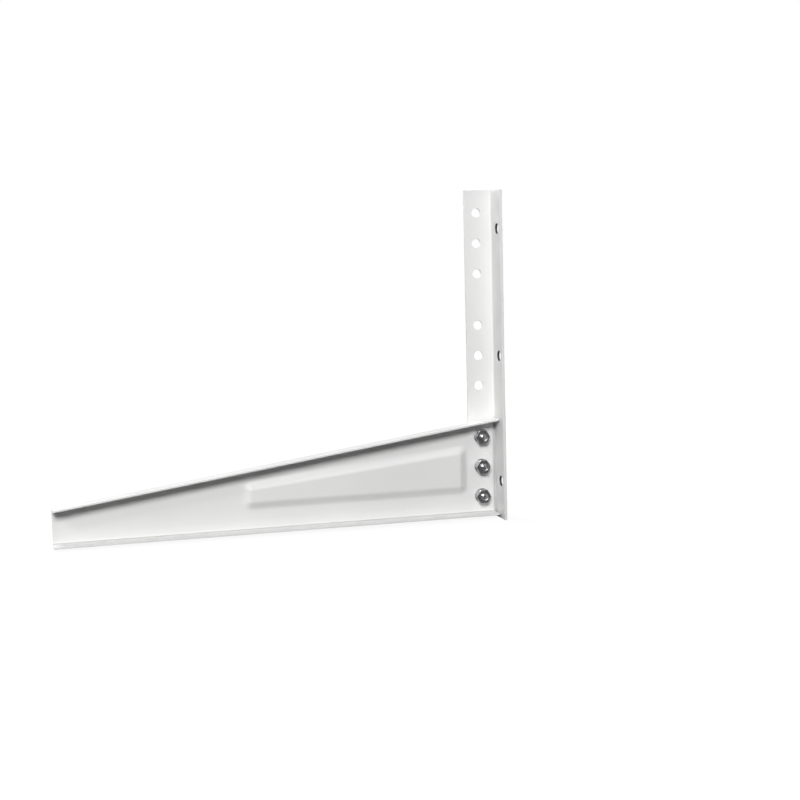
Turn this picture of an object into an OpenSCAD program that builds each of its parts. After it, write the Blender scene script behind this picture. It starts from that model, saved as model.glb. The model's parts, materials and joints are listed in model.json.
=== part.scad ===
// Wall bracket for the outdoor unit of an air conditioner.
// A folded angle stands against the wall, and a tapered folded channel
// stands out from it as the arm that carries the unit.
// Millimetres. The origin is the middle wall hole, at the face of the wall:
// the wall is the plane X = 0, the arm reaches towards -X, and Z is up.
// Each piece is drawn from the upright's outer corner at its lower end, and
// on_wall() moves it to the origin.

/* [Upright] */
// Thickness of the folded angle
upright_t = 2.5; // [2:0.1:3.5]
// Inside radius of the fold between the two legs
upright_bend = 1; // [0.5:0.1:2.5]
// Width of the leg that carries the arm, wall face to free edge
side_leg_w = 30; // [27:0.5:45]
// Width of the leg that lies on the wall, outer face to free edge
wall_leg_w = 30; // [26:0.5:45]

/* [Bolt holes] */
// Diameter of the holes in the side leg and the arm
bolt_hole_d = 9; // [8.6:0.1:9.5]
// Distance from the wall to the column of bolt holes
bolt_hole_x = 18; // [17.5:0.1:19]
// Distance from the end holes of a group to the arm's edges at the upright
hole_edge = 18.5; // [16:0.25:22]
// Distance from the last hole of a group to the first of the next
group_gap = 51; // [40:0.5:70]
// Distance from the end holes to the ends of the upright
end_margin = 22; // [20:0.5:30]

/* [Wall holes] */
// Diameter of the holes in the wall leg
wall_hole_d = 10.5; // [8:0.1:11]
// Pitch of the three wall holes, the middle one at half height
wall_hole_pitch = 125; // [100:1:140]
// Distance from the holes to the free edge of the wall leg
wall_hole_edge = 10; // [8:0.1:12]

/* [Arm] */
// Thickness of the arm's sheet
arm_t = 2; // [1.5:0.1:2.5]
// Inside radius of the arm's two folds
arm_bend = 2; // [1:0.1:3]
// Reach of the arm from the wall to its tip
arm_reach = 440; // [400:1:520]
// Height of the channel at the upright
arm_root_h = 97; // [92:0.5:104]
// Height of the channel at the tip
arm_tip_h = 36; // [32:0.5:44]
// Width of the flanges, outer face of the web to free edge
flange_w = 18; // [16:0.5:24]
// Gap between the fold of the upright and the arm's root end
root_clear = 0.2; // [0.1:0.1:1]

/* [Pressed panel] */
// Distance from the wall to the panel's end near the upright
panel_near = 32; // [30:0.5:40]
// Length of the panel along the arm
panel_len = 229; // [190:1:240]
// Height of the panel at its end near the upright
panel_near_h = 52; // [46:0.5:56]
// Height of the panel at its end near the tip
panel_far_h = 28.5; // [27:0.5:31]
// Distance from the arm's lower face up to the panel
panel_rise = 20; // [18:0.5:23]
// Depth to which the panel is pressed
panel_depth = 3.5; // [2.5:0.25:5]
// Width of the slope all round the panel
panel_slope = 10; // [7:0.25:10.5]
// Corner radius of the panel's crest
panel_corner = 4; // [2:0.25:5]

/* [Screws] */
// Diameter of the screws
screw_d = 7.9; // [7:0.1:8]
// Length of the screws under the head
screw_len = 16; // [15.5:0.1:22]
// Diameter of the domed head
head_d = 16; // [14:0.1:16.5]
// Height of the domed head
head_h = 5.6; // [4:0.1:7]
// Radius of the dome
head_dome = 13; // [10:0.5:20]
// Width across the arms of the cross recess
recess_w = 9; // [7:0.1:10]
// Thickness of the arms of the cross recess
recess_t = 2; // [1:0.1:2.6]
// Depth of the cross recess
recess_depth = 3.4; // [2:0.1:3.8]
// Chamfer on the free end of the screw
screw_chamfer = 0.9; // [0.4:0.1:1.4]

/* [Washers and nuts] */
// Outer diameter of the flat washer under the head
washer_d = 17; // [16.6:0.1:18]
// Thickness of the flat washer
washer_t = 1.6; // [1.2:0.1:2]
// Clearance between the screw and the washers, across
washer_clear = 0.5; // [0.3:0.1:0.6]
// Outer diameter of the split lock washer
lock_d = 14.6; // [13:0.1:15]
// Thickness of the lock washer
lock_t = 1.8; // [1.2:0.1:2.4]
// Width of the split in the lock washer
lock_split = 1.4; // [0.8:0.1:2]
// Width of the nut across its flats
nut_af = 13; // [12:0.1:13.5]
// Height of the nut
nut_h = 6.5; // [5.5:0.1:7]
// Clearance between the screw and the nut, across
nut_clear = 0.1; // [0.1:0.05:0.3]
// Chamfer at the nut's corners and in the mouths of its bore
nut_chamfer = 0.7; // [0.3:0.1:1]
// Angle of the chamfer at the nut's corners, from the nut's face
nut_chamfer_angle = 30; // [25:1:35]

/* [Hidden] */
$fn = 64;
eps = 0.01;
lap = 1;

paint = [0.93, 0.93, 0.92];
zinc = [0.62, 0.63, 0.65];

// Upright
upright_bend_o = upright_bend + upright_t;
side_y = wall_leg_w - wall_hole_edge;
hole_pitch = arm_root_h/2 - hole_edge;
group_step = 2*hole_pitch + group_gap;
upright_h = 2*end_margin + 2*group_step + 2*hole_pitch;

function row_z(group, row) = end_margin + group*group_step + row*hole_pitch;

// Arm
arm_group = 0;
arm_root_x = -(upright_t + upright_bend + root_clear);
arm_tip_x = -arm_reach;
arm_len = arm_root_x - arm_tip_x;
arm_z0 = row_z(arm_group, 0) - hole_edge;
arm_taper = atan((arm_root_h - arm_tip_h)/arm_len);
arm_y = -upright_t;
arm_bend_o = arm_bend + arm_t;
bend_rise = arm_bend_o/cos(arm_taper);

// Height of the arm's upper face at a distance along the arm
function arm_top(x) = arm_z0 + arm_tip_h + (x - arm_tip_x)*tan(arm_taper);

// Pressed panel, and the steps of its slope as parts of depth and of width
panel_x1 = -panel_near;
panel_x0 = panel_x1 - panel_len;
panel_z0 = arm_z0 + panel_rise;
panel_pitch = atan((panel_near_h - panel_far_h)/panel_len);
panel_steps = [[0, 0], [0.18, 0.3], [0.82, 0.7], [1, 1]];
press_lap = 0.3*arm_t;

// Screws: the stack of pieces along each screw, measured from the outer face
stack = upright_t + arm_t;
lock_y = -stack - lock_t;
nut_y = lock_y - nut_h;
screw_fn = 48;
recess_turn = 45;
lock_turn = 30;
lock_tilt = 30;

// Section of the upright: two legs joined by one fold
module angle_section() {
    translate([-side_leg_w, -upright_t])
        square([side_leg_w - upright_bend_o, upright_t]);
    translate([-upright_t, -wall_leg_w])
        square([upright_t, wall_leg_w - upright_bend_o]);
    translate([-upright_bend_o, -upright_bend_o])
        fold_section(upright_bend_o, upright_bend);
}

// Quarter ring of a fold, from +X round to +Y
module fold_section(outer, inner) {
    intersection() {
        difference() {
            circle(outer);
            circle(inner);
        }
        square(outer);
    }
}

// Hole along Y through the side leg and the web
module bolt_hole(group, row) {
    translate([-bolt_hole_x, lap, row_z(group, row)])
        rotate([90, 0, 0]) cylinder(d = bolt_hole_d, h = stack + 2*lap);
}

// Hole along X through the wall leg
module wall_hole(step) {
    translate([-upright_t - lap, -side_y, upright_h/2 + step*wall_hole_pitch])
        rotate([0, 90, 0]) cylinder(d = wall_hole_d, h = upright_t + 2*lap);
}

module upright() {
    color(paint) difference() {
        linear_extrude(upright_h) angle_section();
        for (group = [0:2], row = [0:2]) bolt_hole(group, row);
        for (step = [-1, 0, 1]) wall_hole(step);
    }
}

// Section of a flange with its fold and a short lap into the web
module flange_section() {
    translate([-flange_w, 0]) square([flange_w - arm_bend_o, arm_t]);
    translate([-arm_bend_o, arm_bend_o]) mirror([0, 1]) fold_section(arm_bend_o, arm_bend);
    translate([-arm_t, arm_bend_o]) square([arm_t, lap]);
}

module lower_flange() {
    translate([arm_tip_x, arm_y, arm_z0])
        rotate([90, 0, 90]) linear_extrude(arm_len) flange_section();
}

// The upper flange follows the taper, so it is made long and trimmed
module upper_flange() {
    over = arm_tip_h;
    translate([arm_tip_x, arm_y, arm_z0 + arm_tip_h]) rotate([0, -arm_taper, 0])
        translate([-over, 0, 0]) rotate([90, 0, 90])
            linear_extrude(arm_len/cos(arm_taper) + 2*over) mirror([0, 1]) flange_section();
}

module web() {
    translate([0, arm_y, 0]) rotate([90, 0, 0]) linear_extrude(arm_t) polygon([
        [arm_tip_x, arm_z0 + arm_bend_o],
        [arm_root_x, arm_z0 + arm_bend_o],
        [arm_root_x, arm_top(arm_root_x) - bend_rise],
        [arm_tip_x, arm_top(arm_tip_x) - bend_rise]]);
}

module channel() {
    intersection() {
        union() {
            web();
            lower_flange();
            upper_flange();
        }
        translate([arm_tip_x, arm_y - flange_w, arm_z0 - lap])
            cube([arm_len, flange_w, arm_root_h + 2*lap]);
    }
}

// Centre of a corner disc of the panel, a given distance in from its edges
function panel_spot(near, upper, inset) =
    let (x = near ? panel_x1 - inset : panel_x0 + inset)
    [x, upper ? panel_z0 + panel_far_h + (x - panel_x0)*tan(panel_pitch) - inset/cos(panel_pitch)
              : panel_z0 + inset];

// Outline of the panel as four discs at one depth and one inset
module panel_ring(depth, inset) {
    r = panel_corner + panel_slope - inset;
    for (near = [false, true], upper = [false, true]) {
        spot = panel_spot(near, upper, inset + r);
        translate([spot[0], -depth, spot[1]])
            rotate([90, 0, 0]) cylinder(r = r, h = eps, $fn = 32);
    }
}

// Form of the pressing, from the plane Y = 0 down to its depth
module pressing() {
    for (i = [0 : len(panel_steps) - 2]) {
        a = panel_steps[i];
        b = panel_steps[i + 1];
        hull() {
            panel_ring(a[0]*panel_depth - (i == 0 ? press_lap : 0), a[1]*panel_slope);
            panel_ring(b[0]*panel_depth, b[1]*panel_slope);
        }
    }
}

module arm() {
    color(paint) difference() {
        union() {
            channel();
            translate([0, arm_y - arm_t, 0]) pressing();
        }
        translate([0, arm_y, 0]) pressing();
        for (row = [0:2]) bolt_hole(arm_group, row);
    }
}

// Places a fastener: its +Z becomes +Y, out of the side leg's outer face
module at_bolt(row) {
    translate([-bolt_hole_x, 0, row_z(arm_group, row)]) rotate([-90, 0, 0]) children();
}

module cross_recess() {
    intersection() {
        translate([0, 0, -recess_depth])
            cylinder(r1 = recess_t/2, r2 = recess_w/2 + lap/2, h = recess_depth + lap);
        for (turn = [0, 90]) rotate(turn + recess_turn)
            translate([-recess_w, -recess_t/2, -recess_depth - lap])
                cube([2*recess_w, recess_t, recess_depth + 3*lap]);
    }
}

module screw(row) {
    color(zinc) at_bolt(row) difference() {
        union() {
            translate([0, 0, washer_t]) intersection() {
                cylinder(d = head_d, h = head_h);
                translate([0, 0, head_h - head_dome]) sphere(r = head_dome);
            }
            translate([0, 0, washer_t - screw_len + screw_chamfer])
                cylinder(d = screw_d, h = screw_len - screw_chamfer + lap, $fn = screw_fn);
            translate([0, 0, washer_t - screw_len])
                cylinder(d1 = screw_d - 2*screw_chamfer, d2 = screw_d, h = screw_chamfer,
                         $fn = screw_fn);
        }
        translate([0, 0, washer_t + head_h]) cross_recess();
    }
}

module washer(row) {
    color(zinc) at_bolt(row) difference() {
        cylinder(d = washer_d, h = washer_t);
        translate([0, 0, -lap]) cylinder(d = screw_d + washer_clear, h = washer_t + 2*lap);
    }
}

// Split ring that keeps the nut from working loose
module lock_washer(row) {
    color(zinc) at_bolt(row) translate([0, 0, lock_y]) difference() {
        cylinder(d = lock_d, h = lock_t);
        translate([0, 0, -lap]) cylinder(d = screw_d + washer_clear, h = lock_t + 2*lap);
        rotate(lock_turn) translate([0, -lock_split/2, lock_t/2]) rotate([lock_tilt, 0, 0])
            translate([0, 0, -lock_d/2]) cube([lock_d, lock_split, lock_d]);
    }
}

module nut(row) {
    corner_r = nut_af/2/cos(30);
    face_r = corner_r - nut_chamfer;
    cone_r = face_r + nut_h/tan(nut_chamfer_angle);
    bore_r = (screw_d + nut_clear)/2;
    color(zinc) at_bolt(row) translate([0, 0, nut_y]) difference() {
        intersection() {
            cylinder(r = corner_r, h = nut_h, $fn = 6);
            cylinder(r1 = face_r, r2 = cone_r, h = nut_h);
            cylinder(r1 = cone_r, r2 = face_r, h = nut_h);
        }
        translate([0, 0, -lap]) cylinder(r = bore_r, h = nut_h + 2*lap, $fn = screw_fn);
        translate([0, 0, -eps])
            cylinder(r1 = bore_r + nut_chamfer, r2 = bore_r, h = nut_chamfer, $fn = screw_fn);
        translate([0, 0, nut_h - nut_chamfer + eps])
            cylinder(r1 = bore_r, r2 = bore_r + nut_chamfer, h = nut_chamfer, $fn = screw_fn);
    }
}

// Moves a piece from the upright's lower corner to the frame of the wall holes
module on_wall() {
    translate([0, side_y, -upright_h/2]) children();
}

on_wall() upright();
on_wall() arm();
on_wall() screw(2);  // screw_top
on_wall() screw(1);  // screw_middle
on_wall() screw(0);  // screw_bottom
on_wall() washer(2);  // washer_top
on_wall() washer(1);  // washer_middle
on_wall() washer(0);  // washer_bottom
on_wall() lock_washer(2);  // lock_washer_top
on_wall() lock_washer(1);  // lock_washer_middle
on_wall() lock_washer(0);  // lock_washer_bottom
on_wall() nut(2);  // nut_top
on_wall() nut(1);  // nut_middle
on_wall() nut(0);  // nut_bottom
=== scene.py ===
# %% [markdown]
# This lesson dresses a wall bracket for the outdoor unit of an air conditioner.
# The real bracket is two pieces of steel sheet, folded, painted white and held
# together by three screws with washers and nuts. Its exact solids are loaded
# first. They fix where everything is, and each piece made here stands for one.

# %% Load the frame
import json
import bpy
import numpy as np
from mathutils import Matrix, Vector


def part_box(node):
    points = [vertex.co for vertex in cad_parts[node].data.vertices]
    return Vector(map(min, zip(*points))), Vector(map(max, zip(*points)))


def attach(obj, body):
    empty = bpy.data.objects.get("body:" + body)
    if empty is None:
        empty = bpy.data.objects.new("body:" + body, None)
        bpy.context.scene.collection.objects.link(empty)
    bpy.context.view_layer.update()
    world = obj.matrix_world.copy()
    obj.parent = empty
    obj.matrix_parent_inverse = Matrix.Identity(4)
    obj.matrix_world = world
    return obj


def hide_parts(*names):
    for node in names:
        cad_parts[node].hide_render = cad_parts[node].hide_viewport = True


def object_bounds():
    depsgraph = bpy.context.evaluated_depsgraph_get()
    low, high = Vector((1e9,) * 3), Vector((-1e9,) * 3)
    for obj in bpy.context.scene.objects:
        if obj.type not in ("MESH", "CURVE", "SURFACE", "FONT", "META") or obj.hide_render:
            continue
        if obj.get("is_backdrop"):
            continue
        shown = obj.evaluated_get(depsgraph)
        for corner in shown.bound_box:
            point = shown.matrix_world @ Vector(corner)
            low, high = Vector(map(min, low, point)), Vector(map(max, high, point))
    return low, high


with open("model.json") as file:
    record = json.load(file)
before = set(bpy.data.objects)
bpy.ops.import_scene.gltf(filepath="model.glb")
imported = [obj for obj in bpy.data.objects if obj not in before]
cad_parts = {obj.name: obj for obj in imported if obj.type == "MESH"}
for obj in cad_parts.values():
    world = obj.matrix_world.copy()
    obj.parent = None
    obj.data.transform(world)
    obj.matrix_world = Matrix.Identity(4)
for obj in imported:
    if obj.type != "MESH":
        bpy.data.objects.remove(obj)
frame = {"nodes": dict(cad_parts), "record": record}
cad_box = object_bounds()
print("nodes in the frame:", len(frame["nodes"]))

# %% [markdown]
# Every size that the solids already hold is read from them, so that the pieces
# fit whatever the solids say. The wall is the plane X = 0, the arm reaches
# towards -X, and the outer face of the upright's side leg looks along +Y.

# %% Measure the sheets and the screws
ROWS = ("top", "middle", "bottom")


def corners(node):
    """Lowest and highest corner of a solid as two arrays, in metres."""
    low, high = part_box(node)
    return np.array(low), np.array(high)


up_low, up_high = corners("upright")
arm_low, arm_high = corners("arm")
screws = {row: corners(f"screw_{row}") for row in ROWS}
washers = {row: corners(f"washer_{row}") for row in ROWS}
lock_washers = {row: corners(f"lock_washer_{row}") for row in ROWS}
nuts = {row: corners(f"nut_{row}") for row in ROWS}

upright_t = up_high[1] - arm_high[1]
arm_t = arm_high[1] - lock_washers["top"][1][1]
bolt_x = (screws["top"][0][0] + screws["top"][1][0]) / 2
bolt_z = {row: (screws[row][0][2] + screws[row][1][2]) / 2 for row in ROWS}
print(f"upright sheet {upright_t * 1000:.2f} mm, arm sheet {arm_t * 1000:.2f} mm")

# %% [markdown]
# The holes are in the record as pairs of holes, each pair with its middle and
# its spacing. The heights of a column of holes are the ends of its pairs.

# %% Read the holes
mounts = {mount["name"]: mount for mount in frame["record"]["mounts"]}


def hole_heights(*names):
    """Heights of the holes of some pairs: each pair's middle, plus and minus half its spacing."""
    middles = np.array([mounts[name]["pos_m"][2] for name in names])
    halves = np.array([mounts[name]["dims"]["spacing_y_mm"] for name in names]) / 2000
    return np.unique(np.round(np.concatenate([middles - halves, middles + halves]), 6))


wall_hole_z = hole_heights("wall_holes_outer", "wall_holes_upper")
wall_hole_y = mounts["wall_holes_outer"]["pos_m"][1]
wall_hole_r = mounts["wall_holes_outer"]["dims"]["hole_r_mm"] / 1000
spare_z = hole_heights("low_spare_outer", "low_spare_upper", "high_spare_outer", "high_spare_upper")
bolt_hole_r = mounts["low_spare_outer"]["dims"]["hole_r_mm"] / 1000
side_hole_z = np.concatenate([spare_z, list(bolt_z.values())])
print("holes:", len(side_hole_z), "in the side leg and", len(wall_hole_z), "in the wall leg")

# %% [markdown]
# White powder coat is paint that was baked on as powder. It has a soft sheen,
# and close up its skin is slightly uneven, like the peel of an orange. One flat
# colour would look like plastic, so the colour and the gloss drift a little over
# a hand's width, and two noises of about one and four millimetres bend the light.
# The pieces carry two more marks: painted shade in the lower fold and by the wall leg, and where a hole
# was drilled through the paint and its wall is bare steel.

# %% Paint
NOISE_SPAN = (0.3, 0.7)
WHITE_LOW, WHITE_HIGH = (0.76, 0.76, 0.755), (0.79, 0.79, 0.785)
# The dark grey is painted shade, laid on the lower fold and on the arm's end by the wall leg.
PAINTED_SHADE_GREY, STEEL_GREY = (0.26, 0.26, 0.255), (0.18, 0.18, 0.18)
DRIFT_SIZE, GLOSS_SIZE, PAINT_ROUGH = 0.09, 0.03, (0.42, 0.52)
PAINT_SKIN = ((0.004, 0.00006), (0.0011, 0.00002))


def new_material(name):
    """A material and its Principled shader, with helpers that add nodes and connect sockets."""
    material = bpy.data.materials.new(name)
    material.use_nodes = True
    tree = material.node_tree
    shader = tree.nodes["Principled BSDF"]

    def add(kind, **inputs):
        """Adds a node, and sets or links its inputs by name."""
        node = tree.nodes.new(kind)
        for key, value in inputs.items():
            connect(node.inputs[key.replace("_", " ")], value)
        return node

    def connect(socket, value):
        """Links a socket to another node's output, or gives it a constant."""
        if isinstance(value, bpy.types.NodeSocket):
            tree.links.new(value, socket)
        else:
            socket.default_value = value

    return material, shader, add, connect


def noise(add, place, size, detail=2.0):
    """Value of a noise whose features are about size metres across."""
    return add("ShaderNodeTexNoise", Vector=place, Scale=1 / size, Detail=detail).outputs["Fac"]


def carried(add, value, start, end):
    """Carries a value from one span (low, high) to another one, and holds it inside that."""
    node = add("ShaderNodeMapRange", Value=value)
    for key, number in zip(("From Min", "From Max", "To Min", "To Max"), (*start, *end)):
        node.inputs[key].default_value = number
    return node.outputs["Result"]


def between(add, share, low, high):
    """Carries a noise from its usual span to a span of values."""
    return carried(add, share, NOISE_SPAN, (low, high))


def mixed(add, share, first, second):
    """Colour that goes from first to second as the share goes from 0 to 1."""
    node = add("ShaderNodeMix")
    node.data_type = "RGBA"
    node.id_data.links.new(share, node.inputs[0])
    for socket, colour in ((node.inputs[6], first), (node.inputs[7], second)):
        if isinstance(colour, tuple):
            socket.default_value = (*colour, 1)
        else:
            node.id_data.links.new(colour, socket)
    return node.outputs[2]


def mark(add, name):
    """Value of one of a piece's own attributes, which is 0 on pieces that lack it."""
    node = add("ShaderNodeAttribute")
    node.attribute_name = name
    return node.outputs["Fac"]


def bumped(add, heights):
    """Normal bent by a chain of bumps, each given as a height value and its depth in metres."""
    normal = None
    for height, depth in heights:
        node = add("ShaderNodeBump", Height=height, Distance=depth)
        if normal is not None:
            node.id_data.links.new(normal, node.inputs["Normal"])
        normal = node.outputs["Normal"]
    return normal


def powder_coat():
    """White baked paint: drifting colour and gloss, an uneven skin, painted shade and bare steel."""
    material, shader, add, connect = new_material("powder_coat")
    place = add("ShaderNodeTexCoord").outputs["Object"]
    drift = between(add, noise(add, place, DRIFT_SIZE), 0, 1)
    # Painted shade: where the piece's shade mark is high, the white goes to the dark grey.
    shaded = mixed(add, mark(add, "painted_shade"), mixed(add, drift, WHITE_LOW, WHITE_HIGH), PAINTED_SHADE_GREY)
    connect(shader.inputs["Base Color"], mixed(add, mark(add, "bare"), shaded, STEEL_GREY))
    connect(shader.inputs["Metallic"], mark(add, "bare"))
    connect(shader.inputs["Roughness"], between(add, noise(add, place, GLOSS_SIZE), *PAINT_ROUGH))
    skin = [(noise(add, place, size), depth) for size, depth in PAINT_SKIN]
    connect(shader.inputs["Normal"], bumped(add, skin))
    return material


paint = powder_coat()
print("material:", paint.name)

# %% [markdown]
# The screws, washers and nuts are steel with a thin bright layer of zinc. It is
# a metal, so its colour is the colour of what it reflects. Pressing and turning
# leave faint rings round the axis. They follow the piece and not the room, so
# each piece carries its distance from the screw's axis as an attribute.

# %% Zinc
ZINC_LOW, ZINC_HIGH = (0.42, 0.43, 0.45), (0.54, 0.54, 0.53)
PATCH_SIZE, STAIN_SIZE, ZINC_ROUGH = 0.005, 0.002, (0.26, 0.42)
GRAIN_SIZE, GRAIN_DEPTH = 0.0012, 0.00003
RINGS_PER_METRE, RING_DEPTH = 9000.0, 0.00001


def zinc_plate():
    """Bright zinc: a metal with rings round the axis, and patches of duller layer."""
    material, shader, add, connect = new_material("zinc_plate")
    place = add("ShaderNodeTexCoord").outputs["Object"]
    rings = add("ShaderNodeTexNoise", Scale=RINGS_PER_METRE, Detail=3.0)
    rings.noise_dimensions = "1D"
    connect(rings.inputs["W"], mark(add, "reach"))
    patches = between(add, noise(add, place, PATCH_SIZE), 0, 1)
    connect(shader.inputs["Base Color"], mixed(add, patches, ZINC_LOW, ZINC_HIGH))
    stains = noise(add, place, STAIN_SIZE, detail=4.0)
    connect(shader.inputs["Roughness"], between(add, stains, *ZINC_ROUGH))
    skin = [(noise(add, place, GRAIN_SIZE), GRAIN_DEPTH), (rings.outputs["Fac"], RING_DEPTH)]
    connect(shader.inputs["Normal"], bumped(add, skin))
    shader.inputs["Metallic"].default_value = 1.0
    return material


zinc = zinc_plate()
print("material:", zinc.name)

# %% [markdown]
# All pieces are grids of points. A grid's faces come from its table of point
# numbers: each face joins four neighbours of the table. The same short function
# then serves flat sheets, washers and threads.

# %% Make a piece from a grid
def grid_faces(table):
    """Quads of a table of point numbers: (i, j), (i+1, j), (i+1, j+1), (i, j+1)."""
    return np.stack([table[:-1, :-1], table[1:, :-1], table[1:, 1:], table[:-1, 1:]], -1).reshape(-1, 4)


def make_piece(name, points, faces, material, node):
    """A smooth mesh object from points and groups of faces, which stands for a node."""
    mesh = bpy.data.meshes.new(name)
    mesh.from_pydata(points.tolist(), [], [face for group in faces for face in group.tolist()])
    mesh.shade_smooth()
    mesh.materials.append(material)
    piece = bpy.data.objects.new(name, mesh)
    bpy.context.scene.collection.objects.link(piece)
    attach(piece, "root")
    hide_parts(node)
    print(f"{name}: {len(mesh.vertices)} points, {len(mesh.polygons)} faces")
    return piece


def add_mark(piece, name, values, domain="POINT"):
    """Gives a piece an attribute that its material can read."""
    piece.data.attributes.new(name, "FLOAT", domain).data.foreach_set("value", values.astype(np.float32))


# %% [markdown]
# Sheet metal starts as a flat blank with holes punched in it. The blank here is
# a grid with round holes. A boolean cut would leave ragged faces round a hole,
# so a block of the grid is taken out and filled again with rings of quads that
# turn step by step from the block's outline into a circle.

# %% Blank with holes
def ruled(stops, step):
    """Grid lines that pass through all stops, with about one step between lines."""
    counts = [max(1, round((b - a) / step)) for a, b in zip(stops, stops[1:])]
    lines = [np.linspace(a, b, n, endpoint=False) for a, b, n in zip(stops, stops[1:], counts)]
    return np.concatenate([*lines, stops[-1:]])


def punched(across, along, holes, block, rings=4):
    """A blank from two tables of coordinates, with round holes given as (across, along, radius).

    Round each hole the faces within a block's half width are left out. Ring k of the filling
    lies the share k/rings of the way from the circle to the block's outline, on the same ray.
    Returns the flat points and the quads."""
    table = np.arange(across.size).reshape(across.shape)
    flat = [np.column_stack([across.ravel(), along.ravel()])]
    keep = np.ones((across.shape[0] - 1, across.shape[1] - 1), bool)
    faces = []
    count = across.size
    for a, b, radius in holes:
        i0, i1 = [int(np.abs(across[:, 0] - a - side).argmin()) for side in (-block, block)]
        j0, j1 = [int(np.abs(along[(i0 + i1) // 2] - b - side).argmin()) for side in (-block, block)]
        keep[i0:i1, j0:j1] = False
        outline = np.concatenate([table[i0:i1, j0], table[i1, j0:j1],
                                  table[i1:i0:-1, j1], table[i0, j1:j0:-1]])
        ray = flat[0][outline] - (a, b)
        circle = radius * ray / np.linalg.norm(ray, axis=1, keepdims=True)
        share = (np.arange(rings) / rings)[:, None, None]
        flat.append(((a, b) + circle + share * (ray - circle)).reshape(-1, 2))
        rows = np.vstack([count + np.arange(rings * len(outline)).reshape(rings, -1), outline])
        faces.append(grid_faces(np.column_stack([rows, rows[:, 0]])))
        count += rings * len(outline)
    whole = grid_faces(table)[keep.ravel()]
    quads = np.concatenate([whole, *faces])
    used, numbers = np.unique(quads, return_inverse=True)
    return np.concatenate(flat)[used], numbers.reshape(-1, 4)


# %% [markdown]
# The blank is then folded. A fold is a quarter of a ring, and past it the sheet
# goes on square to where it was. Both skins of the sheet are worked out with the
# same rule, one at depth 0 and one at the sheet's thickness, and the open edges
# between them are closed with a rim. A narrow bevel rounds the cut edges.
# A drilled hole's wall is the part of the rim that starts on the hole's circle.

# %% Fold a blank into a sheet
CUT_EDGE, FOLD_STEP = 0.0003, 0.0006
SHARP_EDGE, ON_CIRCLE = np.radians(50), 1e-6


def lip(past, depth, bend):
    """Where a sheet is, past a fold line: (inwards, towards the corner), both from the outer faces.

    With r = bend - depth, the fold is the arc (bend - r cos t, bend - r sin t), t = past / bend.
    Past a quarter turn the sheet goes straight on at the given depth."""
    radius = bend - depth
    turn = np.clip(past / bend, 0, np.pi / 2)
    straight = np.maximum(past - bend * np.pi / 2, 0)
    return bend - radius * np.cos(turn) + straight, bend - radius * np.sin(turn)


def rim_faces(quads, count):
    """Quads that join the open edges of two skins: an edge is open if no face uses it backwards."""
    edges = np.concatenate([quads[:, [k, (k + 1) % 4]] for k in range(4)])
    key = edges[:, 0] * count + edges[:, 1]
    back = edges[:, 1] * count + edges[:, 0]
    a, b = edges[~np.isin(key, back)].T
    return np.column_stack([a, b, b + count, a + count])


def on_circle(flat, holes):
    """Whether each flat point lies on the circle of one of the holes."""
    far = [np.hypot(flat[:, 0] - a, flat[:, 1] - b) - radius for a, b, radius in holes]
    return (np.abs(far) < ON_CIRCLE).any(0)


def folded_sheet(name, flat, quads, place, thickness, node, bare_holes=()):
    """A sheet from a blank: place(flat, depth) gives a skin, and a rim joins the two skins.

    The walls of the bare holes are marked as steel without paint."""
    count = len(flat)
    points = np.concatenate([place(flat, 0), place(flat, thickness)])
    rim = rim_faces(quads, count)
    faces = [quads[:, ::-1], quads + count, rim]
    piece = make_piece(name, points, faces, paint, node)
    if len(bare_holes):
        walls = on_circle(flat, bare_holes)[rim[:, 0]]
        add_mark(piece, "bare", np.concatenate([np.zeros(2 * len(quads)), walls]), "FACE")
    bevel = piece.modifiers.new("cut_edge", "BEVEL")
    bevel.width = CUT_EDGE
    bevel.segments = 3
    bevel.limit_method = "ANGLE"
    bevel.angle_limit = SHARP_EDGE
    bevel.harden_normals = True
    return piece


# %% [markdown]
# The upright is an angle: one leg lies on the wall and the other carries the
# arm. Its blank is measured from the fold line, with the side leg on the one
# side and the wall leg on the other, so the holes are punched where the drawing
# of the flat sheet would have them.

# %% Upright
UPRIGHT_BEND = 0.0035
LEG_STEP, UPRIGHT_STEP, UPRIGHT_BLOCK = 0.0015, 0.0018, 0.0075
fold_line = -UPRIGHT_BEND


def on_upright(flat, depth):
    """Side leg up to the fold line, then the lip that becomes the wall leg."""
    across, height = flat.T
    inwards, corner = lip(np.maximum(across - fold_line, 0), depth, UPRIGHT_BEND)
    x = np.where(across < fold_line, across, -corner)
    y = up_high[1] - np.where(across < fold_line, depth, inwards)
    return np.column_stack([x, y, height])


def from_fold(y):
    """Place in the blank of a height y on the wall leg: the arc, then the straight part."""
    return fold_line + UPRIGHT_BEND * np.pi / 2 + (up_high[1] - UPRIGHT_BEND - y)


stops = [up_low[0], fold_line, fold_line + UPRIGHT_BEND * np.pi / 2, from_fold(up_low[1])]
lines = np.concatenate([ruled(stops[:2], LEG_STEP)[:-1], ruled(stops[1:3], FOLD_STEP)[:-1],
                        ruled(stops[2:], LEG_STEP)])
across, along = np.meshgrid(lines, ruled([up_low[2], up_high[2]], UPRIGHT_STEP), indexing="ij")
bolt_holes = [(bolt_x, z, bolt_hole_r) for z in side_hole_z]
wall_holes = [(from_fold(wall_hole_y), z, wall_hole_r) for z in wall_hole_z]
flat, quads = punched(across, along, bolt_holes + wall_holes, UPRIGHT_BLOCK)
upright = folded_sheet("upright_sheet", flat, quads, on_upright, upright_t, "upright", wall_holes)

# %% [markdown]
# The arm is a channel that gets lower towards its tip. Its blank is a tapered
# plate, and the two fold lines follow its taper, so the upper flange slopes and
# the lower one is level. A panel is pressed out of the web to stiffen it: it
# stands out on the open side and is hollow on the other.

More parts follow.
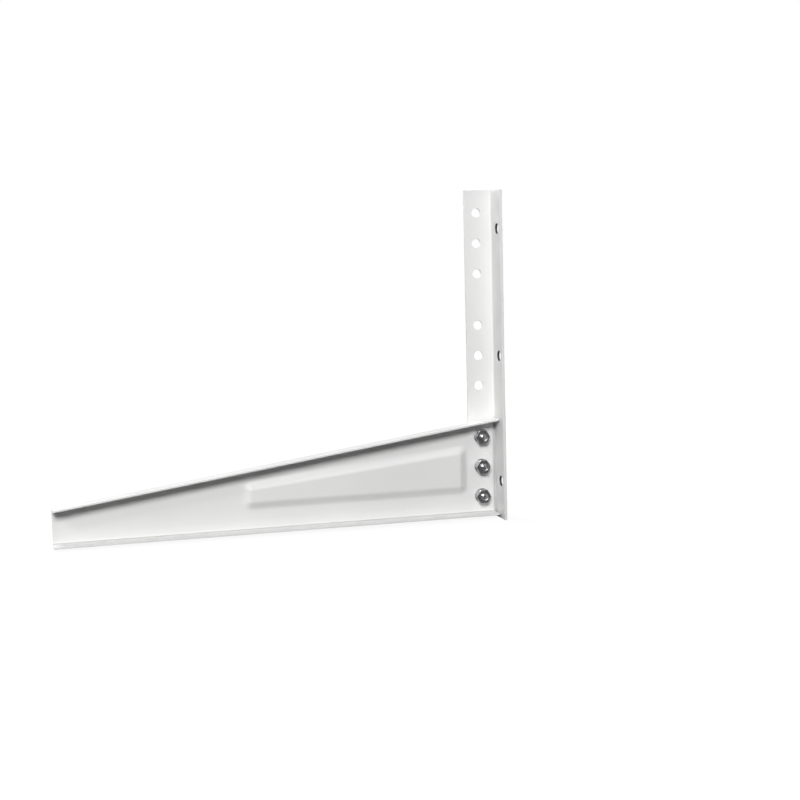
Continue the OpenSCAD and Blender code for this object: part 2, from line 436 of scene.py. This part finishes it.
# %% Sizes of the arm
ARM_BEND = 0.004
PANEL_NEAR, PANEL_LEN = 0.032, 0.229
PANEL_NEAR_H, PANEL_FAR_H = 0.052, 0.0285
PANEL_RISE, PANEL_DEPTH = 0.020, 0.0035
PANEL_SLOPE, AT_TIP = 0.010, 1e-5

arm_points = np.array([v.co for v in frame["nodes"]["arm"].data.vertices])
tip_top = arm_points[arm_points[:, 0] < arm_low[0] + AT_TIP][:, 2].max()
taper = (arm_high[2] - tip_top) / (arm_high[0] - arm_low[0])
panel_x0, panel_x1 = -PANEL_NEAR - PANEL_LEN, -PANEL_NEAR
panel_z0 = arm_low[2] + PANEL_RISE
panel_pitch = (PANEL_NEAR_H - PANEL_FAR_H) / PANEL_LEN
print(f"the upper edge falls {np.degrees(np.arctan(taper)):.2f} degrees towards the tip")


def arm_top(x):
    """Height of the arm's upper face: a straight line from the tip to the root."""
    return tip_top + (x - arm_low[0]) * taper


def web_height(x):
    """Height of the flat web between the two fold lines."""
    return arm_top(x) - ARM_BEND * np.hypot(1, taper) - arm_low[2] - ARM_BEND


def panel_top(x):
    """Height of the panel's upper edge."""
    return panel_z0 + PANEL_FAR_H + (x - panel_x0) * panel_pitch


# %% [markdown]
# The pressing needs a depth for each point of the web. A smooth step over the
# distance in from each edge gives a slope along that edge, and the product of
# the steps gives all four slopes at once, with soft round corners between them.

# %% Depth of the pressed panel
def eased(share):
    """Smooth step from 0 to 1, level at both ends: 3 s^2 - 2 s^3."""
    share = np.clip(share, 0, 1)
    return share**2 * (3 - 2 * share)


def pressed(x, z):
    """Depth of the pressing: its full depth times an eased step in from each of the four edges."""
    ends = eased((x - panel_x0) / PANEL_SLOPE) * eased((panel_x1 - x) / PANEL_SLOPE)
    from_top = (panel_top(x) - z) / np.hypot(1, panel_pitch)
    return PANEL_DEPTH * ends * eased((z - panel_z0) / PANEL_SLOPE) * eased(from_top / PANEL_SLOPE)


# %% [markdown]
# The arm's blank is the web with a flange on each side of it. Its grid lines are
# close together where the sheet curves, at the folds and the panel's slopes, and
# far apart where it is flat. Shade is painted into two places on the open side:
# the lower fold, most of all three quarters of the way round it, and the arm's
# end beside the wall leg.

# %% Arm
COARSE, FINE, BY_BOLTS, AT_END = 0.003, 0.0008, 0.0015, 0.0005
WEB_COUNTS, ARM_BLOCK = (8, 14, 12, 14, 8), 0.0070
PANEL_MARGIN, SLOPE_SPAN, END_SPAN = 0.001, 0.016, 0.006
# Painted shade: how dark it is and where it lies in the lower fold, and how dark it is and how far it
# reaches from the arm's end by the wall leg.
FOLD_SHADE, SHADE_PLACE, SHADE_SPREAD = 0.6, 0.75, 0.25
END_SHADE, SHADE_REACH = 1.0, 0.0012


def on_arm(flat, depth):
    """Web between the fold lines, with a lip below and a lip above, square to the upper edge."""
    x, s = flat.T
    height = web_height(x)
    low_in, low_up = lip(np.maximum(-s, 0), depth, ARM_BEND)
    top_in, top_down = lip(np.maximum(s - height, 0), depth, ARM_BEND)
    web_z = arm_low[2] + ARM_BEND + s
    top_z = arm_top(x) - top_down * np.hypot(1, taper)
    inwards = np.select([s < 0, s > height], [low_in, top_in], depth + pressed(x, web_z))
    z = np.select([s < 0, s > height], [arm_low[2] + low_up, top_z], web_z)
    return np.column_stack([x, arm_high[1] - inwards, z])


def web_stops(x):
    """Heights in the blank of the panel's edges and slopes, as shares of the web's height.

    Between the tip and the panel they keep the shares that they have at the panel's end."""
    x = np.clip(x, panel_x0, panel_x1)
    low = panel_z0 - arm_low[2] - ARM_BEND
    top = panel_top(x) - arm_low[2] - ARM_BEND
    edges = [0 * x, low + 0 * x, low + PANEL_SLOPE + 0 * x, top - PANEL_SLOPE, top, web_height(x)]
    return np.stack(edges, -1) / web_height(x)[..., None]


def stepped(values, counts):
    """Cuts each stretch between neighbouring values into a count of equal steps."""
    parts = [values[:, [k]] + (values[:, [k + 1]] - values[:, [k]]) * np.arange(n) / n
             for k, n in enumerate(counts)]
    return np.concatenate([*parts, values[:, -1:]], 1)


stretches = [(arm_low[0], COARSE),
             (panel_x0 - PANEL_MARGIN, FINE), (panel_x0 + SLOPE_SPAN, COARSE),
             (panel_x1 - SLOPE_SPAN, FINE), (panel_x1 + PANEL_MARGIN, BY_BOLTS),
             (arm_high[0] - END_SPAN, AT_END)]
starts, steps = zip(*stretches)
parts = [ruled([a, b], step)[:-1] for a, b, step in zip(starts, [*starts[1:], arm_high[0]], steps)]
x_lines = np.concatenate([*parts, arm_high[:1]])
web = stepped(web_stops(x_lines), WEB_COUNTS) * web_height(x_lines)[:, None]
flange = arm_high[1] - arm_low[1] - ARM_BEND
arc = ARM_BEND * np.pi / 2
past = np.concatenate([ruled([0, arc], FOLD_STEP)[:-1], arc + ruled([0, flange], COARSE)])
lower = -past[:0:-1] + 0 * x_lines[:, None]
upper = web_height(x_lines)[:, None] + past[1:]
along = np.concatenate([lower, web, upper], 1)
across = x_lines[:, None] + 0 * along
holes = [(bolt_x, z - arm_low[2] - ARM_BEND, bolt_hole_r) for z in bolt_z.values()]
flat, quads = punched(across, along, holes, ARM_BLOCK)
arm = folded_sheet("arm_sheet", flat, quads, on_arm, arm_t, "arm")
# Painted shade on the open side only: a band in the lower fold and a strip along the arm's end by the
# wall leg.
in_fold = FOLD_SHADE * np.exp(-((flat[:, 1] / arc + SHADE_PLACE) / SHADE_SPREAD) ** 2)
by_wall = END_SHADE * np.exp((flat[:, 0] - arm_high[0]) / SHADE_REACH)
add_mark(arm, "painted_shade", np.concatenate([0 * in_fold, np.maximum(in_fold, by_wall)]))

# %% [markdown]
# Screws, washers and nuts are turned shapes. A turned shape is a table of radii
# and heights: one row for each angle round the axis, and one column for each
# point of the profile. Where the shape isn't round, as on a nut or a thread, the
# radius or the height simply changes with the angle.

# %% Turned pieces
def full_turn(count):
    """A count of equal angles round the axis, as a column; the last is one step short of the first."""
    return np.linspace(0, 2 * np.pi, count, endpoint=False)[:, None]


def on_axis(radius, angle, height, row):
    """Points from radius, angle and height, on the axis of a screw whose heads look along +Y."""
    x = bolt_x + radius * np.cos(angle)
    z = bolt_z[row] - radius * np.sin(angle)
    return np.stack([x, height + 0 * radius, z], -1)


def turned_piece(name, radius, angle, height, row, node, closed):
    """A turned shape from tables whose rows are angles; its profile is a loop, or ends in two poles."""
    points = on_axis(radius, angle, height, row)
    rows, columns = radius.shape
    table = np.arange(rows * columns).reshape(rows, columns)
    table = np.vstack([table, table[:1]])
    faces = [grid_faces(np.column_stack([table, table[:, 0]]) if closed else table)[:, ::-1]]
    points = points.reshape(-1, 3)
    reach = radius.ravel()
    if not closed:
        ends = points.reshape(rows, columns, 3)[:, [0, -1]].mean(0)
        points = np.concatenate([points, ends])
        reach = np.append(reach, [0, 0])
        first, last = np.full(rows, rows * columns), np.full(rows, rows * columns + 1)
        faces.append(np.column_stack([first, table[:-1, 0], table[1:, 0]]))
        faces.append(np.column_stack([last, table[1:, -1], table[:-1, -1]]))
    piece = make_piece(name, points, faces, zinc, node)
    add_mark(piece, "reach", reach)
    return piece


def rounded_loop(inner, outer, low, high, corner, steps=5):
    """Profile of a ring with round corners: four quarter circles, from the top face outwards."""
    turn = np.linspace(0, np.pi / 2, steps)
    centres = [(outer - corner, high - corner), (outer - corner, low + corner),
               (inner + corner, low + corner), (inner + corner, high - corner)]
    turns = [turn + k * np.pi / 2 for k in range(4)]
    arcs = [np.column_stack([a + corner * np.sin(t), b + corner * np.cos(t)])
            for t, (a, b) in zip(turns, centres)]
    return np.concatenate(arcs).T


# %% [markdown]
# A flat washer is punched from sheet, and its edges are a little round. Its bore
# is a little wider than the screw.

# %% Flat washers
SCREW_R, WASHER_BORE_R, WASHER_ROUND = 0.00395, 0.0042, 0.0003
WASHER_STEPS = 72

for row in ROWS:
    low, high = washers[row]
    angle = full_turn(WASHER_STEPS)
    radius, height = rounded_loop(WASHER_BORE_R, (high[0] - low[0]) / 2, low[1], high[1], WASHER_ROUND)
    radius, height = radius + 0 * angle, height + 0 * angle
    turned_piece(f"washer_{row}_pressed", radius, angle, height, row, f"washer_{row}", True)

# %% [markdown]
# A lock washer is a bar bent round in a ring and cut through at a slant. The
# ring is carried round less than a full turn, and the angle of each end depends
# on the height in the bar, so that the cut leans.

# %% Split lock washers
SPLIT_W, SPLIT_TURN, SPLIT_LEAN = 0.0014, np.radians(30), np.radians(30)
BAR_ROUND, BAR_SHARP = 0.0002, np.radians(40)

for row in ROWS:
    low, high = lock_washers[row]
    radius, height = rounded_loop(WASHER_BORE_R, (high[0] - low[0]) / 2, low[1], high[1], BAR_ROUND)
    share = np.linspace(0, 1, WASHER_STEPS + 1)[:, None]
    lean = -(height - (low[1] + high[1]) / 2) * np.tan(SPLIT_LEAN) / radius
    half = SPLIT_W / 2 / np.cos(SPLIT_LEAN) / radius
    angle = SPLIT_TURN + lean + half + share * (2 * np.pi - 2 * half)
    points = on_axis(radius + 0 * share, angle, height + 0 * share, row).reshape(-1, 3)
    table = np.arange(len(points)).reshape(angle.shape)
    sides = grid_faces(np.column_stack([table, table[:, 0]]))[:, ::-1]
    ends = np.stack([table[0, ::-1], table[-1]])
    node = f"lock_washer_{row}"
    ring = make_piece(node + "_split", points, [sides, ends], zinc, node)
    add_mark(ring, "reach", (radius + 0 * share).ravel())
    ring.data.set_sharp_from_angle(angle=BAR_SHARP)

# %% [markdown]
# A screw thread is one groove that winds round the shank. Seen as a surface, the
# radius rises and falls with the height, and the whole wave climbs by one pitch
# for each turn. The wave is cut off above and below, so that the thread has flat
# crests and roots. The nut uses the same wave a hair further out, so the two
# threads lie in each other without touching.

# %% Thread
PITCH, THREAD_DEPTH, THREAD_STEPS = 0.00125, 0.00062, 144
WAVE_HEIGHT, CREST_CUT = 1.35, 0.1


def thread_radius(angle, height):
    """Crest radius less a wave of height minus a share of the turn, flat at crest and root."""
    phase = (height / PITCH - angle / (2 * np.pi)) % 1
    wave = np.clip(WAVE_HEIGHT * (1 - np.abs(2 * phase - 1)) - CREST_CUT, 0, 1)
    return SCREW_R - THREAD_DEPTH * wave


# %% [markdown]
# The head is a low dome over a short wall, with a cross recess for the driver.
# The dome is part of a sphere. The recess has two narrow arms whose floor rises
# from the middle to the tips, and walls that are steep but not sharp. The other
# end is rounded, and the thread runs out on a short chamfer before it.

# %% Screws
HEAD_DOME, HEAD_ROUND, SEAT_BEVEL = 0.013, 0.0006, 0.0003
RECESS_W, RECESS_T, RECESS_DEPTH, RECESS_TURN = 0.009, 0.002, 0.0034, np.radians(45)
RECESS_WALL, RECESS_REACH = 0.0003, 0.0048
SCREW_CHAMFER, END_DOME = 0.0009, 0.0011
FIRST_R, CAP_STEP, UNDER_HEAD = 0.0001, 0.0002, 0.0001
FIRST_TURN, EDGE_SHARE = 0.1, 0.6


def head_height(radius, angle, top):
    """Height of the head: the dome, lowered to the floor of the recess inside its arms."""
    dome = top - HEAD_DOME + np.sqrt(HEAD_DOME**2 - radius**2)
    rise = RECESS_DEPTH * (radius - RECESS_T / 2) / (RECESS_W / 2 - RECESS_T / 2)
    floor = np.minimum(dome, top - RECESS_DEPTH + np.maximum(rise, 0))
    one = np.abs(radius * np.sin(angle - RECESS_TURN))
    other = np.abs(radius * np.cos(angle - RECESS_TURN))
    return floor + (dome - floor) * eased((np.minimum(one, other) - RECESS_T / 2) / RECESS_WALL + 0.5)


def screw_tables(row):
    """Radii and heights of a screw, from the middle of its head round to the middle of its end."""
    low, high = screws[row]
    seat = washers[row][1][1]
    head_r = (high[0] - low[0]) / 2
    angle = full_turn(THREAD_STEPS)
    cap = np.concatenate([np.linspace(FIRST_R, RECESS_REACH, 36),
                          np.linspace(RECESS_REACH + CAP_STEP, head_r - HEAD_ROUND, 9)])
    shoulder = high[1] - HEAD_DOME + np.sqrt(HEAD_DOME**2 - head_r**2)
    turn = np.linspace(FIRST_TURN, np.pi / 2, 5)
    round_r = head_r - HEAD_ROUND * (1 - np.sin(turn))
    wall_r = np.concatenate([round_r, [head_r, head_r - SEAT_BEVEL, SCREW_R]])
    edge_h = shoulder - HEAD_ROUND * EDGE_SHARE * (1 - np.cos(turn))
    wall_h = np.concatenate([edge_h, [seat + SEAT_BEVEL, seat, seat]])
    shank_h = np.arange(seat - UNDER_HEAD, low[1] + END_DOME + SCREW_CHAMFER / 2, -PITCH / 8)
    past_end = np.linspace(SCREW_CHAMFER / 2, 0, 4)
    chamfer_h = low[1] + END_DOME + past_end
    chamfer_r = np.minimum(thread_radius(angle, chamfer_h), SCREW_R - SCREW_CHAMFER + past_end)
    tip = np.linspace(0.95, 0.05, 10)
    radius = np.concatenate([np.append(cap, wall_r) + 0 * angle, thread_radius(angle, shank_h),
                             chamfer_r, chamfer_r[:, -1:] * tip], 1)
    fixed = np.concatenate([wall_h, shank_h, chamfer_h, low[1] + END_DOME * tip**2])
    height = np.concatenate([head_height(cap, angle, high[1]), fixed + 0 * angle], 1)
    return radius, angle, height


for row in ROWS:
    radius, angle, height = screw_tables(row)
    turned_piece(f"screw_{row}_threaded", radius, angle, height, row, f"screw_{row}", False)

# %% [markdown]
# A nut is a six-sided bar, cut off and turned down a little at its corners, so
# each flat ends in a curved line. Its radius at an angle is the distance to the
# nearest flat divided by the cosine of the angle from that flat's middle.

# %% Nuts
NUT_CHAMFER, NUT_CHAMFER_TILT, NUT_SHARP = 0.0007, np.radians(30), np.radians(25)
NUT_BORE_GAP, NUT_FACE_GAP = 0.00004, 0.00015


def nut_tables(row):
    """Radii and heights of a nut: faces, chamfers, flats and threaded bore, as one loop."""
    low, high = nuts[row]
    corner_r = (high[0] - low[0]) / 2
    angle = full_turn(THREAD_STEPS)
    from_flat = (angle + np.pi / 6) % (np.pi / 3) - np.pi / 6
    flat_r = corner_r * np.cos(np.pi / 6) / np.cos(np.pi / 6 - np.abs(from_flat))
    face_r = np.minimum(corner_r - NUT_CHAMFER, flat_r - NUT_FACE_GAP)
    drop = np.maximum(flat_r - face_r, 0) * np.tan(NUT_CHAMFER_TILT)
    mouth_r = SCREW_R + NUT_BORE_GAP + NUT_CHAMFER
    bore_h = np.linspace(low[1] + NUT_CHAMFER, high[1] - NUT_CHAMFER, 42)
    bore_r = thread_radius(angle, bore_h) + NUT_BORE_GAP
    one = 0 * angle + 1
    radius = np.concatenate([mouth_r * one, face_r, flat_r, flat_r, face_r, mouth_r * one, bore_r], 1)
    height = np.concatenate([high[1] * one, high[1] * one, high[1] - drop, low[1] + drop,
                             low[1] * one, low[1] * one, bore_h * one], 1)
    return radius, angle, height


for row in ROWS:
    radius, angle, height = nut_tables(row)
    nut = turned_piece(f"nut_{row}_threaded", radius, angle, height, row, f"nut_{row}", True)
    nut.data.set_sharp_from_angle(angle=NUT_SHARP)

# %% [markdown]
# The studio is plain. The floor lies under the lowest point and takes a faint
# shadow. What the camera sees of it is lifted almost to white, and the world is
# white to the camera too. To the bracket the room is dim, so that metal and
# shadows keep their dark tones.

# %% Floor and world
FLOOR_LIFT, FLOOR_GREY, ROOM_LIGHT = 0.91, 0.10, 0.02
LIFT_SPAN, FLOOR_REACH = (0.2, 1.2), 30.0


def floor_paint():
    """A matt grey floor that glows for the camera, the more so the further it is from the bracket."""
    material, shader, add, connect = new_material("studio_floor")
    shader.inputs["Base Color"].default_value = (FLOOR_GREY, FLOOR_GREY, FLOOR_GREY, 1)
    shader.inputs["Roughness"].default_value = 1.0
    shader.inputs["Specular IOR Level"].default_value = 0.0
    shader.inputs["Emission Color"].default_value = (1, 1, 1, 1)
    far = add("ShaderNodeVectorMath", Vector=add("ShaderNodeTexCoord").outputs["Object"])
    far.operation = "LENGTH"
    seen = add("ShaderNodeMath")
    seen.operation = "MULTIPLY"
    connect(seen.inputs[0], add("ShaderNodeLightPath").outputs["Is Camera Ray"])
    connect(seen.inputs[1], carried(add, far.outputs["Value"], LIFT_SPAN, (FLOOR_LIFT, 1.0)))
    connect(shader.inputs["Emission Strength"], seen.outputs[0])
    return material


floor_x = FLOOR_REACH * np.array([-1, 1, 1, -1])
floor_y = FLOOR_REACH * np.array([-1, -1, 1, 1])
floor_points = np.column_stack([floor_x, floor_y, np.full(4, up_low[2])])
floor_mesh = bpy.data.meshes.new("floor")
floor_mesh.from_pydata(floor_points.tolist(), [], [(0, 1, 2, 3)])
floor_mesh.materials.append(floor_paint())
floor = bpy.data.objects.new("floor", floor_mesh)
bpy.context.scene.collection.objects.link(floor)
floor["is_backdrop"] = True

world = bpy.data.worlds.new("studio")
bpy.context.scene.world = world
world.use_nodes = True
background = world.node_tree.nodes["Background"]
background.inputs["Color"].default_value = (1, 1, 1, 1)
rays = world.node_tree.nodes.new("ShaderNodeLightPath")
strength = world.node_tree.nodes.new("ShaderNodeMapRange")
strength.inputs["To Min"].default_value = ROOM_LIGHT
strength.inputs["To Max"].default_value = 1.0
world.node_tree.links.new(rays.outputs["Is Camera Ray"], strength.inputs["Value"])
world.node_tree.links.new(strength.outputs["Result"], background.inputs["Strength"])
print("floor at", round(float(up_low[2]), 4))

# %% [markdown]
# Four soft lamps stand in for a small studio. The key lamp in front, about 30
# degrees up, sets how far the upper flange's shadow reaches down the web, and its
# size sets how softly that shadow ends. The left one lights the wall leg and the
# panel's left slope, and the one overhead lights the flanges' tops. The one behind
# lights the outer side, which shows when the bracket is looked at from there.

# %% Lamps
LAMP_REACH = 2.4


def area_lamp(name, towards, size, power):
    """A square lamp, at LAMP_REACH from the bracket's middle in a direction, which shines at it."""
    data = bpy.data.lights.new(name, "AREA")
    data.size = size
    data.energy = power
    lamp = bpy.data.objects.new(name, data)
    bpy.context.scene.collection.objects.link(lamp)
    away = Vector(towards).normalized()
    lamp.location = bracket_middle + away * LAMP_REACH
    lamp.rotation_euler = away.to_track_quat("Z", "Y").to_euler()
    return lamp


bracket_middle = Vector((arm_low[0] + up_low[0], up_low[1] + up_high[1], 0)) / 2
area_lamp("key", (-0.3, -1.0, 0.55), 0.7, 55)
area_lamp("left", (-1.3, -0.9, 1.05), 0.35, 11)
area_lamp("overhead", (-0.3, 0.4, 1.4), 1.2, 38)
area_lamp("behind", (-0.6, 1.2, 0.5), 1.2, 22)

# %% [markdown]
# The camera was worked out from the photograph's edges and hole centres. It is a
# long lens, a little above the arm and well to its left, and held very slightly
# off level.

# %% Camera
CAMERA_PLACE = (-0.4865, -1.4182, 0.1310)
CAMERA_YAW, CAMERA_PITCH, CAMERA_ROLL = np.radians([15.066, 6.573, -1.446])
IMAGE_SIDE, FOCAL_PIXELS, SENSOR = 800, 1518.7, 36.0

turned_in = Matrix.Rotation(CAMERA_ROLL, 3, "Y") @ Matrix.Rotation(CAMERA_PITCH, 3, "X") \
    @ Matrix.Rotation(CAMERA_YAW, 3, "Z")
look = Matrix(((1, 0, 0), (0, 0, -1), (0, 1, 0)))
camera = bpy.data.objects.new("camera", bpy.data.cameras.new("camera"))
bpy.context.scene.collection.objects.link(camera)
camera.matrix_world = Matrix.Translation(CAMERA_PLACE) @ (turned_in.transposed() @ look).to_4x4()
camera.data.sensor_width = SENSOR
camera.data.lens = SENSOR * FOCAL_PIXELS / IMAGE_SIDE
bpy.context.scene.camera = camera
bpy.context.scene.view_settings.view_transform = "Standard"
print(f"lens {camera.data.lens:.1f} mm")

# %% [markdown]
# Last, the visual model's box is compared with that of the solids, and the difference is printed in
# millimetres.

# %% Check the size and finish
seen_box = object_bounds()
difference = (np.array(seen_box) - np.array(cad_box)) * 1000
print("difference in mm:", difference.round(3).tolist())
